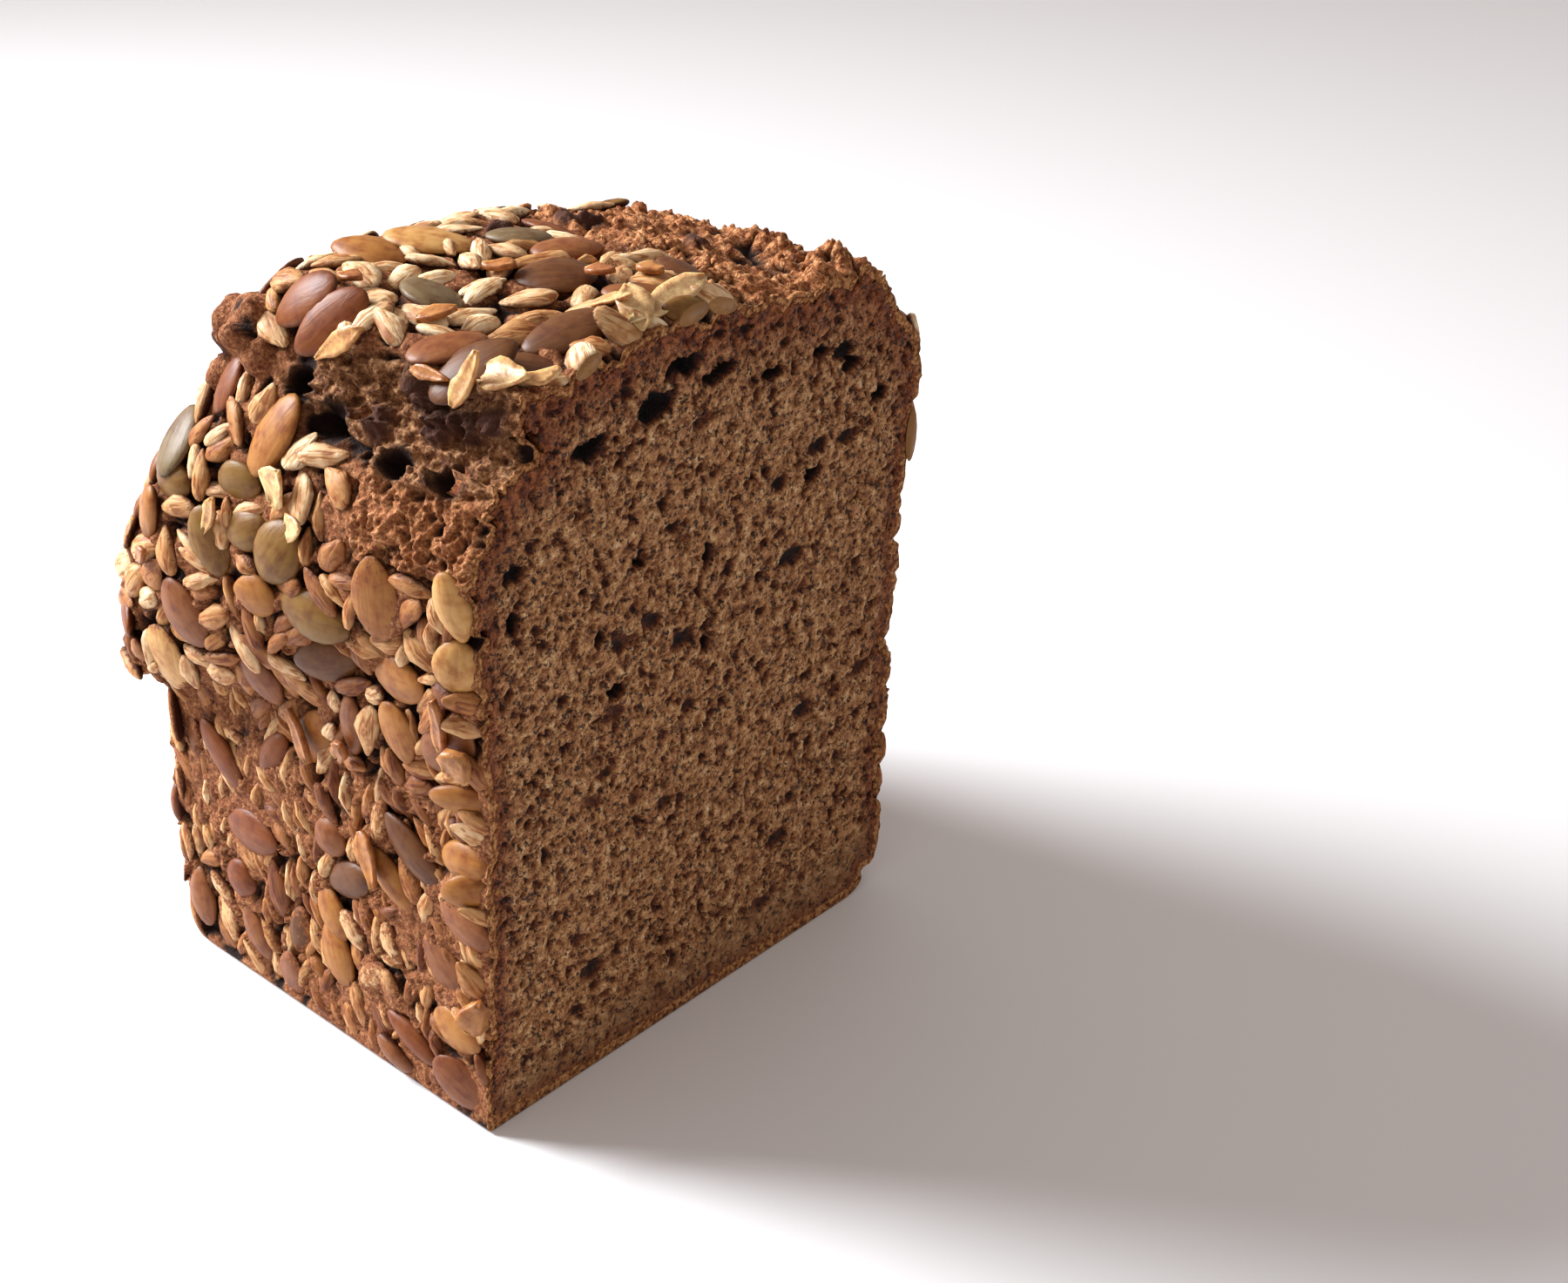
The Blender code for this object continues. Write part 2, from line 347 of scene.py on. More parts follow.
def smooth_normal(point):
    """The skin's direction around a point, averaged over a few millimetres."""
    total = Vector()
    for hit in skin_tree.find_nearest_range(Vector(point * MM), 4 * MM):
        total += hit[1]
    return np.array(total.normalized())


# %% The seeds that catch the eye
TONES = dict(grey=0.0, olive=0.17, olive_brown=0.34, brown=0.5, chestnut=0.67, orange=0.83, tan=1.0)
NOTABLE = (  # x, y, z, turn from +X in degrees, length, width, tone: the big seeds that catch the eye
    (5, -35, 118, 55, 14, 7, "chestnut"), (-1, -34, 119, 40, 13, 7, "chestnut"),
    (12, -23, 121, -5, 11, 8.5, "grey"), (6, -1, 121, 50, 10, 7.5, "grey"),
    (24, -31, 120, 70, 12, 8, "brown"), (31, -33, 119, 65, 14, 8, "olive_brown"),
    (34.5, -27, 119.5, 45, 13, 7.5, "olive_brown"), (20, -7, 121, 45, 12, 8, "olive_brown"),
    (33, -17, 120, 70, 14, 7.5, "olive_brown"), (-1, -43, 101, 65, 15, 8, "orange"),
    (-5, -20, 121, 20, 12, 7, "orange"), (-1, -12, 122, 35, 14, 7.5, "tan"), (14, 1, 121, 60, 11, 7, "brown"),
    (4, -48, 86, 60, 11, 8.5, "olive"), (11, -48, 78, -5, 13.5, 7.5, "olive"),
    (-10, -49, 83, -65, 11, 7, "olive"), (-3, -48, 87, 30, 9, 6, "olive"), (-6, -46, 93, 20, 9, 6.5, "olive"),
    (-22, -45, 94, -75, 12, 8, "grey"), (-20, -48, 89, 5, 9, 6, "olive"), (-25, -49, 82, 60, 11, 6, "orange"),
    (-16, -51, 69, -60, 12, 8, "brown"), (39, -45, 90, -75, 11, 5.5, "tan"),
    (25, -45, 72, 10, 11, 7, "orange"), (24, -45, 63, -70, 10, 7, "orange"), (40, -45, 80, 85, 9, 7, "tan"),
    (13, -44, 59, 80, 12, 5, "brown"), (-20, -45, 39, -50, 13, 6, "chestnut"),
    (0, -50, 78, 0, 8, 6.5, "orange"), (-13, -46, 28, 5, 13, 7, "chestnut"),
    (6, -45, 36, -50, 7, 6.5, "brown"), (10, -45, 30, 30, 12, 6, "olive_brown"),
    (6, -46, 22, -55, 9.5, 6, "orange"), (25, -44, 42, -35, 15, 6, "olive_brown"),
    (20, -45, 35, -45, 12, 5, "orange"), (36, -44, 46, 15, 10.5, 6, "orange"),
    (40, -45, 42, 10, 9, 5.5, "orange"), (37, -45, 35, -15, 11, 7, "brown"),
    (7, -46, 15, -70, 12, 6.5, "orange"), (25, -47, 9, -25, 12, 4.5, "chestnut"),
    (21, -47, 3, -40, 9, 5, "brown"), (-16, -46, 18, -5, 7, 6.5, "chestnut"),
    (-27, -47, 9, -80, 11, 6, "brown"), (40, -44, 57, 0, 11, 5, "orange"))


def turned(normal, degrees):
    """The direction along the skin at an angle from +X, anticlockwise as seen from outside."""
    start = np.array([1.0, 0, 0]) if abs(normal[0]) < 0.85 else np.array([0, 1.0, 0])
    level = start - normal * (normal @ start)
    level /= np.linalg.norm(level)
    angle = math.radians(degrees)
    return level * math.cos(angle) + np.cross(normal, level) * math.sin(angle)


# %% A bed of seeds
DISC_STEPS = np.array([-0.33, 0.0, 0.33])  # where a seed's three discs lie, in shares of its length
DISC_RADII = np.array([0.40, 0.5, 0.40])  # and how big they are, in shares of its width


class SeedBed:
    """The seeds laid so far. Each one is tested as three discs in a row."""

    def __init__(self):
        self.discs = np.empty((0, 4))
        self.seeds = []

    def lay(self, closeness, **seed):
        length, width, _ = seed["size"]
        spread = DISC_STEPS[:, None] * length
        centres = seed["place"] + spread * seed["along"]
        radii = DISC_RADII * width
        if len(self.discs) and closeness > 0:
            gaps = np.linalg.norm(self.discs[None, :, :3] - centres[:, None], axis=2)
            if (gaps < closeness * (self.discs[None, :, 3] + radii[:, None])).any():
                return False
        self.discs = np.vstack([self.discs, np.column_stack([centres, radii])])
        self.seeds.append(seed)
        return True


# %% Scatter the seeds
def scatter(bed, rng, kind, tries, limit, length, closeness, sunk=0.0):
    """Draws seeds of a kind until the tries or the limit run out."""
    places, flats = random_places(rng, tries)
    bare, torn, free = on_bare_top(places), in_tear(places, 0.5) + below_tear(places), above_tin(places)
    laid = 0
    for place, flat, is_bare, is_torn, is_free in zip(places, flats, bare, torn, free):
        if laid >= limit:
            break
        on_cut = flat[0] > 0.9 and place[0] > CUT - 0.5
        if flat[2] < -0.5 or on_cut or is_torn > 0.25 or is_bare > 0.3:
            continue
        if place[2] < 2.0 + 14 * rng.random() ** 2:  # fewer seeds reach down to the base
            continue
        if any(np.linalg.norm(place - lump[:3]) < lump[3] + 1.5 for lump in CHARRED + LUMPS):
            continue
        normal = smooth_normal(place)
        turn = rng.uniform(-180, 180) if is_free > 0.5 else rng.normal(105, 32)
        long = rng.normal(length, length * 0.13)
        wall = 1 - is_free
        if kind == "pumpkin":
            size = (long, long * rng.uniform(0.5, 0.68), rng.uniform(2.2, 2.9))
            weights = np.array([1, 2, 3, 3, 2, 1, 1]) * is_free + np.array([0, 0.5, 1, 3, 3, 4, 1]) * wall
            tone = rng.choice(list(TONES.values()), p=weights / weights.sum()) + rng.normal(0, 0.03)
        else:
            size = (long, long * rng.uniform(0.4, 0.64), rng.uniform(1.9, 2.8))
            if rng.random() < 0.1 + 0.35 * wall:
                size = (long, size[2], size[1])  # lies on its edge
            # kernels are paler towards the top and a little darker on the walls: partly their own roast,
            # partly painted light where the key light strikes the top
            tone = rng.uniform(0.0, 0.85) + 0.4 * ease(place[2], 84, 108) - 0.05 * wall
        near_cut = ease(place[0], CUT - 14, CUT - 4)
        stand = rng.uniform(0.1, 0.8) * is_free + (rng.uniform(-0.25, 0.45) + 0.4 * near_cut) * wall - sunk
        dust = rng.uniform(0.0, 0.45) * is_free + (rng.uniform(0.15, 0.8) - 0.3 * near_cut) * wall
        laid += bed.lay(closeness, kind=kind, place=place, normal=normal, along=turned(normal, turn),
                        size=size, tone=np.clip(tone, 0, 1), stand=stand, free=is_free, dust=dust)
    print(f"{kind}: {laid} seeds laid")


rng = np.random.default_rng(7)
bed = SeedBed()
for x, y, z, turn, length, width, tone in NOTABLE:
    place = np.array(skin_tree.find_nearest(Vector((x, y, z)) * MM)[0]) / MM
    normal = smooth_normal(place)
    bed.lay(0, kind="pumpkin", place=place, normal=normal, along=turned(normal, turn),
            size=(length, width, 3.0), tone=TONES[tone], stand=0.8, free=above_tin(place[None])[0], dust=0.1)
scatter(bed, rng, "pumpkin", 5000, 110, 11.5, 1.1)
scatter(bed, rng, "sunflower", 22000, 700, 8.4, 0.66)
scatter(bed, rng, "sunflower", 16000, 500, 7.2, 0.5, sunk=0.35)
print(len(bed.seeds), "seeds in all")

# %% [markdown]
# ## Crust
# Rye dough bakes to a dull, dry, reddish-brown crust, finely pitted, with cracks around the seeds. It is
# made from the solid itself: a copy is voxel remeshed to quads of half a millimetre, softened, and then
# every point is moved by the relief functions. This keeps the loaf's form and gives room for fine lumps
# that a coarse solid can't hold.

# %% Remesh the solid
VOXEL = 0.56  # mm, edge of a crust quad
SPARE = 6.0  # mm that the loaf is lengthened by past the cut, so that softening can't round the cut's edge


def lengthened(bm):
    """Pushes the cut face outwards, to be sliced off again later."""
    face = [f for f in bm.faces if f.normal.x > 0.99 and f.calc_center_median().x > (CUT - 0.05) * MM]
    moved = bmesh.ops.extrude_face_region(bm, geom=face)["geom"]
    bmesh.ops.delete(bm, geom=face, context="FACES")
    corners = [g for g in moved if isinstance(g, bmesh.types.BMVert)]
    bmesh.ops.translate(bm, vec=(SPARE * MM, 0, 0), verts=corners)


def baked_mesh(bm, modifiers):
    """The mesh that modifiers make of a bmesh."""
    mesh = bpy.data.meshes.new("dough")
    bm.to_mesh(mesh)
    bm.free()
    dough = bpy.data.objects.new("dough", mesh)
    bpy.context.scene.collection.objects.link(dough)
    for kind, settings in modifiers:
        modifier = dough.modifiers.new(kind, kind)
        for name, value in settings.items():
            setattr(modifier, name, value)
    graph = bpy.context.evaluated_depsgraph_get()
    result = bpy.data.meshes.new_from_object(dough.evaluated_get(graph))
    bpy.data.objects.remove(dough)
    return result


dough = merged_copy(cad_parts["loaf"])
lengthened(dough)
crust_mesh = baked_mesh(dough, [("REMESH", dict(mode="VOXEL", voxel_size=VOXEL * MM)),
                                ("SMOOTH", dict(factor=0.5, iterations=10))])
ragged_points = points_of(crust_mesh)
ragged = in_tear(ragged_points, 0.4) + below_tear(ragged_points) + on_bare_top(ragged_points) > 0.02
bm = bmesh.new()
bm.from_mesh(crust_mesh)
finer = [e for e in bm.edges if ragged[e.verts[0].index] and ragged[e.verts[1].index]]
bmesh.ops.subdivide_edges(bm, edges=finer, cuts=1, use_grid_fill=True)
bm.to_mesh(crust_mesh)
bm.free()
print("crust faces:", len(crust_mesh.polygons))


# %% Relief of the crust
WALL_ROOM, CAP_ROOM = 0.6, 1.1  # mm that the dough lies under the skin, to leave room for the seeds


def beds_of_seeds(points):
    """What the seeds do to the dough: how high it may reach, its dips and rises beside them, and where
    painted shade darkens the gaps.
    """
    ceiling = np.full(len(points), 9.0)
    change, gap = np.zeros(len(points)), np.zeros(len(points))
    order = np.argsort(points[:, 2])
    levels = points[order, 2]
    # Dough coats some of the seeds, most of all on the walls, where the tin smeared it.
    smeared = (1 - 0.7 * above_tin(points)) * ease(noise(points, 13.0, 54), -0.1, 0.3)
    creep = 1.0 * np.maximum(0, noise(points, 3.0, 51)) + 0.8 * smeared
    side = noise(points, 4.5, 52)
    for seed in bed.seeds:
        reach = max(seed["size"][:2]) * 0.8
        between = np.searchsorted(levels, [seed["place"][2] - reach, seed["place"][2] + reach])
        near = order[between[0]:between[1]]
        rel = points[near] - seed["place"]
        close = np.abs(rel).max(axis=1) < reach
        near, rel = near[close], rel[close]
        across = np.cross(seed["normal"], seed["along"])
        oval = np.hypot(rel @ seed["along"] / (seed["size"][0] / 2), rel @ across / (seed["size"][1] / 2))
        thick = seed["size"][2] / 2
        top = seed["stand"] - thick + thick * np.sqrt(np.clip(1 - oval**2, 0, 1))
        ceiling[near] = np.minimum(ceiling[near], np.where(oval < 1, top - 0.3 + creep[near], 9.0))
        ring = np.exp(-(((oval - 1.1) / 0.2) ** 2))
        dip = ease(-side[near], -0.15, 0.3) * (1 - 0.85 * smeared[near])
        change[near] += ring * (0.4 * ease(side[near], 0.05, 0.4) - 1.5 * dip)
        # gap marks where painted shade darkens the dip beside a seed
        gap[near] = np.maximum(gap[near], ring * dip)
    return ceiling, np.clip(change, -1.8, 0.6), gap


def crust_relief(points):
    """Height of the crust over the softened solid in mm, from 0 to 1 how much painted shade its low spots
    get, and how charred it is.
    """
    bare, torn, free = on_bare_top(points), in_tear(points), above_tin(points)
    slope = below_tear(points) * (1 - torn)
    grain = 0.16 * noise(points, 0.9, 2) + 0.26 * noise(points, 1.8, 3)
    lumps = (0.2 + 0.45 * free) * noise(points, 5.5, 4)
    pits = bubbles(points, 2.4, 0.2, 0.9, 0.35, 5)
    knobs = 0.9 * bubbles(points, 3.0, 0.5, 1.6, 0.8, 61) + 0.9 * bubbles(points, 1.5, 0.3, 0.8, 0.9, 62)
    cracks = 1 - ease(np.abs(noise(points * [0.8, 1.3, 1], 6.0, 63)), 0.0, 0.09)
    crags = knobs + 0.9 * ridges(points, 4.5, 65) + 0.8 * noise(points, 7.0, 64) - 1.2 * cracks - 1.5
    bits = 0.8 * bubbles(points, 1.2, 0.25, 0.65, 0.85, 9) + 0.5 * ridges(points, 1.3, 15)
    fibres = 1.6 * ridges(points * [0.5, 1, 0.9], 2.6, 8) + 1.0 * noise(points, 4.0, 16)
    shreds = fibres + bits - 2.4 * ease(noise(points, 6.0, 10), 0.05, 0.6) - 1.4
    rags = 1.0 * ridges(points * [1, 1, 0.55], 2.4, 11) + 0.9 * noise(points, 3.6, 12) + 1.2 * bits - 1.2
    ceiling, change, gap = beds_of_seeds(points)
    plain = (1 - bare) * (1 - torn) * (1 - slope)
    height = grain + lumps - 0.6 * pits + bare * crags + torn * shreds + slope * rags
    height -= plain * (WALL_ROOM + (CAP_ROOM - WALL_ROOM) * free)
    height = np.minimum(height + plain * change, ceiling)
    crumbled = bare * (crags + 0.8) + torn * (shreds + 1.3) + slope * (rags + 0.4)
    low = -(grain + 0.5 * lumps - 0.6 * pits + crumbled)
    # painted shade: the lower a point lies and the deeper the gap beside a seed, the darker it is painted
    hollow_shade = ease(low + plain * gap * 2.8, 0.05, 1.2)
    charred = np.zeros(len(points))
    for x, y, z, radius in HOLES:
        apart = np.linalg.norm(points - [x, y, z], axis=1) / radius
        height -= 5.5 * (1 - ease(apart, 0.5, 1.15))
        # painted shade fills the gas holes
        hollow_shade = np.maximum(hollow_shade, 1 - ease(apart, 0.9, 1.4))
    for x, y, z, radius in CHARRED:
        apart = np.linalg.norm(points - [x, y, z], axis=1) / radius + 0.15 * noise(points, 2.5, 13)
        height += 0.8 * radius * np.sqrt(np.clip(1 - apart**2, 0, 1)) * (0.75 + 0.5 * noise(points, 1.8, 14))
        charred = np.maximum(charred, 1 - ease(apart, 0.75, 1.15))
    for x, y, z, radius in LUMPS:
        apart = np.linalg.norm(points - [x, y, z], axis=1) / radius + 0.2 * noise(points, 4.0, 17)
        height += 0.75 * radius * np.sqrt(np.clip(1 - apart**2, 0, 1))
    hollow_shade *= 1 - 0.8 * charred
    return height * ease(points[:, 2], 0.3, 2.5), hollow_shade, charred


points = points_of(crust_mesh)
height, hollow_shade, charred = crust_relief(points)
moved = points + normals_of(crust_mesh) * height[:, None]
moved[:, 2] = np.maximum(moved[:, 2], 0.0)
set_points(crust_mesh, moved)
# painted shade for the crust's low spots, holes and the gaps beside the seeds
store(crust_mesh, "hollow_shade", hollow_shade)
store(crust_mesh, "charred", charred)
store(crust_mesh, "torn", in_tear(points))
store(crust_mesh, "bare", np.maximum(on_bare_top(points), 0.7 * below_tear(points)))
print("crust relief from", height.min().round(2), "to", height.max().round(2), "mm")

# %% [markdown]
# The knife takes off the spare length. It leaves an open rim, which is turned inwards to show the crust's
# own thickness and then carried back, so that the crumb can sit inside it like a plug. Later the crust is
# divided into three pieces, because one fine mesh would be too heavy. The groove of the tin hides one seam.

# %% Slice the crust
RIM_WIDTH = 0.6  # mm of crust that shows around the crumb, at least
POCKET = 9.0  # mm that the crumb plug reaches into the crust


def knife(bm, point, normal):
    """Cuts a bmesh at a plane in mm, drops what lies past it and returns the edges of the cut."""
    everything = bm.verts[:] + bm.edges[:] + bm.faces[:]
    cut = bmesh.ops.bisect_plane(bm, geom=everything, plane_co=Vector(point) * MM, plane_no=normal,
                                 clear_outer=True)
    return [e for e in cut["geom_cut"] if isinstance(e, bmesh.types.BMEdge)]


def pushed(bm, edges, move):
    """Extrudes open edges, moves the new points by a function of their place, and returns the new edges."""
    grown = bmesh.ops.extrude_edge_only(bm, edges=edges)["geom"]
    for v in (g for g in grown if isinstance(g, bmesh.types.BMVert)):
        v.co = v.co + move(v.co)
    return [g for g in grown if isinstance(g, bmesh.types.BMEdge)]


def rim_width(points):
    """Width of the cut crust in mm: it is thicker at the base and its inner edge is ragged."""
    ragged_edge = np.abs(noise(points, 2.0, 71) + noise(points, 0.9, 72))
    return RIM_WIDTH + 1.1 * (1 - ease(points[:, 2], 0, 5)) + 0.7 * ragged_edge


def toward_middle(co):
    inward = Vector((0, -co.y, high[2] / 2 * MM - co.z)).normalized()
    return inward * (rim_width(np.array([co]) / MM)[0] + 1.0) * MM - Vector((0.3 * MM, 0, 0))


bm = bmesh.new()
bm.from_mesh(crust_mesh)
rim = knife(bm, (CUT, 0, 0), (1, 0, 0))
outline = np.array([[v.co.yz for v in e.verts] for e in rim]) / MM
ring = pushed(bm, rim, toward_middle)
pocket = pushed(bm, ring, lambda co: Vector((-POCKET * MM, 0, 0)))
bmesh.ops.edgeloop_fill(bm, edges=pocket)
bmesh.ops.recalc_face_normals(bm, faces=bm.faces)
whole_crust = bpy.data.meshes.new("whole_crust")
bm.to_mesh(whole_crust)
bm.free()
print("outline of the cut:", len(outline), "edges")

# %% [markdown]
# Baked rye crust is matt: its roughness is near 0.85, and the only gloss on the loaf is the fat of the seeds.
# Its colour runs from a dusty red-brown on the high spots to nearly black painted shade in the cracks,
# holes and gaps beside the seeds, which the material reads from how deep each point lies. The colours are
# laid over each other like coats of paint: each one has a share, which is a number, a noise or an attribute
# that the relief has left on the mesh.

# %% Crust material
MIX = dict(data_type="RGBA")  # a Mix node takes its share in Factor and its colours in inputs 6 and 7
MULTIPLY = dict(data_type="RGBA", blend_type="MULTIPLY")


def baked_rye_crust():
    """Rye dough, oven-baked: patches of browning 7 mm wide and floury specks of 0.7 mm make it look dry,
    and nearly black painted shade fills its cracks, holes and the gaps beside the seeds.
    """
    material, tree, surface, place = new_material("baked_rye_crust")
    bare, torn, charred, hollow_shade = (add_node(tree, "Attribute", dict(attribute_name=name))["Fac"]
                                   for name in ("bare", "torn", "charred", "hollow_shade"))
    spots = {size: add_node(tree, "TexNoise", Vector=place, Scale=1 / (size * MM), Detail=detail,
                            Roughness=rough)["Fac"]
             for size, detail, rough in ((7.0, 4.0, 0.6), (1.2, 5.0, 0.7), (0.9, 4.0, 0.7), (0.8, 4.0, 0.7),
                                         (0.7, 4.0, 0.7), (0.35, 3.0, 0.6))}  # by their size in mm
    browned, dusty, toasted, ragged, golden = (
        add_node(tree, "ValToRGB", i0=spots[size], stops=stops)["Color"] for size, stops in (
            (7.0, [(0.32, "#603017"), (0.5, "#864d2c"), (0.7, "#9e643c")]),
            (0.7, [(0.34, "#2c0f04"), (0.46, "#7a4326"), (0.56, "#aa6f46"), (0.7, "#dcae7c")]),
            (0.9, [(0.33, "#451e0b"), (0.45, "#8c512c"), (0.56, "#c07f4e"), (0.68, "#edbb8a")]),
            (1.2, [(0.34, "#3a1a0c"), (0.46, "#774a2c"), (0.56, "#a3724a"), (0.68, "#d6ab80")]),
            (0.8, [(0.38, "#5d2f14"), (0.48, "#9a6034"), (0.6, "#cf9760")])))
    x = add_node(tree, "SeparateXYZ", Vector=place)["X"]
    sliced = add_node(tree, "Math", dict(operation="GREATER_THAN"), i0=x, i1=(CUT - 0.35) * MM)[0]
    colour = browned
    # the coat #1d0701 is nearly black painted shade in the cracks, holes and gaps beside the seeds
    for share, coat in ((0.6, dusty), (bare, toasted), (torn, ragged), (charred, "#4d2c1e"),
                        (hollow_shade, "#1d0701"), (sliced, golden)):
        colour = add_node(tree, "Mix", MIX, Factor=share, i6=colour, i7=coat)[2]
    tree.links.new(colour, surface.inputs["Base Color"])
    surface.inputs["Roughness"].default_value = 0.85
    surface.inputs["Specular IOR Level"].default_value = 0.25
    rough = add_node(tree, "Math", dict(operation="ADD"), i0=spots[0.9], i1=spots[0.35])[0]
    bump = add_node(tree, "Bump", Strength=0.9, Distance=0.5 * MM, Height=rough)["Normal"]
    tree.links.new(bump, surface.inputs["Normal"])
    return material


crust = baked_rye_crust()


# %% Divide the crust
def crust_piece(name, start, end):
    """The crust between two heights, closed at the seams."""
    bm = bmesh.new()
    bm.from_mesh(whole_crust)
    for height, side in ((start, -1), (end, 1)):
        if height is not None:
            seam = knife(bm, (0, 0, height), (0, 0, side))
            bmesh.ops.edgenet_fill(bm, edges=seam)
    return finish_piece(name, bm, crust)


SHOULDER = 93.5  # height of the second seam, just under the ragged parts with their finer mesh
crust_piece("crust_top", SHOULDER, None)
crust_bulge = crust_piece("crust_bulge", RIM, SHOULDER)
crust_piece("crust_walls", None, RIM)
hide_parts("loaf")

# %% [markdown]
# ## Crumb
# A rye crumb is dense and slightly moist, with bubbles of half a millimetre to two everywhere and a few
# larger tunnels under the top crust, where the gas gathered. It is a grid on the cut plane, trimmed to the
# outline, whose points are pushed in by the bubbles. A drawn texture would look flat in raking light.

# %% The crumb's bubbles
TUNNELS = ((-3, 112, 3.6, 1.6), (4.6, 108.3, 3.2, 1.5), (15.6, 104.5, 2.4, 1.2), (-8.5, 107.5, 3.4, 2.2),
           (-21, 106, 3.4, 1.8), (39, 92.5, 2.2, 1.4), (1.8, 80.2, 1.2, 2.1), (-36.7, 84.5, 1.4, 2.0),
           (0.8, 65, 1.3, 1.8), (-17.3, 65, 1.6, 1.2), (-12.4, 84, 1.5, 1.2), (24.5, 84.4, 2.0, 1.4),
           (-20.5, 75.2, 1.0, 1.5), (26, 104, 2.0, 1.2), (33, 100, 1.6, 1.3))  # y, z, half width, half height


def crumb_depth(points):
    """How deep the cut face lies below the knife's plane, in mm."""
    warp = np.stack([noise(points, 2.0, 31), noise(points, 2.0, 32), noise(points, 2.0, 33)], axis=1) * 0.8
    warp += np.stack([noise(points, 0.9, 43), noise(points, 0.9, 44), noise(points, 0.9, 45)], axis=1) * 0.35
    p = points + warp
    near_top = ease(points[:, 2], 70, 112)
    dense = 1 - ease(points[:, 2] - 0.05 * points[:, 1], 7, 14)
    fine = 1.5 * bubbles(p, 0.95, 0.22, 0.56, 0.85, 34)
    middle = 1.2 * bubbles(p, 2.1, 0.4, 1.1, 0.6, 35)
    coarse = bubbles(p * [1, 0.75, 1.15], 4.6, 0.8, 2.1, 0.35, 36) * (0.6 + 0.6 * near_top)
    depth = np.maximum(np.maximum(fine, middle), coarse) * (1 - 0.45 * dense)
    for y, z, half_width, half_height in TUNNELS:
        oval = np.hypot((p[:, 1] - y) / half_width, (p[:, 2] - z) / half_height)
        depth = np.maximum(depth, 4.5 * np.sqrt(np.clip(1 - oval, 0, 1)))
    return depth + 0.14 + 0.18 * noise(points, 0.8, 37) + 0.2 * noise(points, 2.6, 38)


# %% Trim the crumb's grid to the outline
def outline_distance(yz, segments):
    """Distance of points on the cut plane to the outline, in mm: positive inside."""
    best, inside = np.full(len(yz), 1e9), np.zeros(len(yz), bool)
    for a, b in segments:
        edge, rel = b - a, yz - a
        share = np.clip(rel @ edge / (edge @ edge), 0, 1)
        best = np.minimum(best, np.hypot(*(rel - share[:, None] * edge).T))
        crosses = (a[1] > yz[:, 1]) != (b[1] > yz[:, 1])
        inside ^= crosses & (yz[:, 0] < a[0] + (yz[:, 1] - a[1]) * edge[0] / (edge[1] or 1e-9))
    return np.where(inside, best, -best)


CRUMB_STEP = 0.37  # mm between the crumb's points


def crumb_plug():
    bm = bmesh.new()
    across, tall = high[1] - low[1], high[2] - low[2]
    columns, rows = int(across / CRUMB_STEP), int(tall / CRUMB_STEP)
    bmesh.ops.create_grid(bm, x_segments=columns, y_segments=rows, size=0.5)
    stand = Matrix(((0, 0, 1, CUT), (across, 0, 0, 0), (0, tall, 0, high[2] / 2), (0, 0, 0, 1)))
    bmesh.ops.transform(bm, matrix=Matrix.Scale(MM, 4) @ stand, verts=bm.verts)
    points = np.array([v.co for v in bm.verts]) / MM
    gap = outline_distance(points[:, 1:], outline)
    keep = gap > rim_width(points)
    bmesh.ops.delete(bm, geom=[v for v, inside in zip(bm.verts, keep) if not inside], context="VERTS")
    points, gap = points[keep], gap[keep]
    depth = crumb_depth(points) * ease(gap - rim_width(points), -0.3, 1.5)
    layers = {name: bm.verts.layers.float.new(name) for name in ("hollow_shade", "edge", "dense")}
    dense = 1 - ease(points[:, 2] - 0.05 * points[:, 1] + 1.5 * noise(points, 9, 41), 6, 13)
    crusty_width = 6.0 + 6.0 * ease(points[:, 2], 85, 105)  # mm of crumb that browned beside the crust
    # the first share is painted shade that darkens the deeper points of the pores
    shares = dict(hollow_shade=np.clip(depth / 1.6, 0, 1), edge=1 - ease(gap, 0.5, crusty_width), dense=0.5 * dense)
    for i, v in enumerate(bm.verts):
        v.co.x -= depth[i] * MM
        for name, layer in layers.items():
            v[layer] = shares[name][i]
    border = [e for e in bm.edges if e.is_boundary]
    back = pushed(bm, border, lambda co: Vector((-(POCKET - 0.5) * MM, 0, 0)))
    bmesh.ops.edgenet_fill(bm, edges=back)
    bmesh.ops.recalc_face_normals(bm, faces=bm.faces)
    return bm


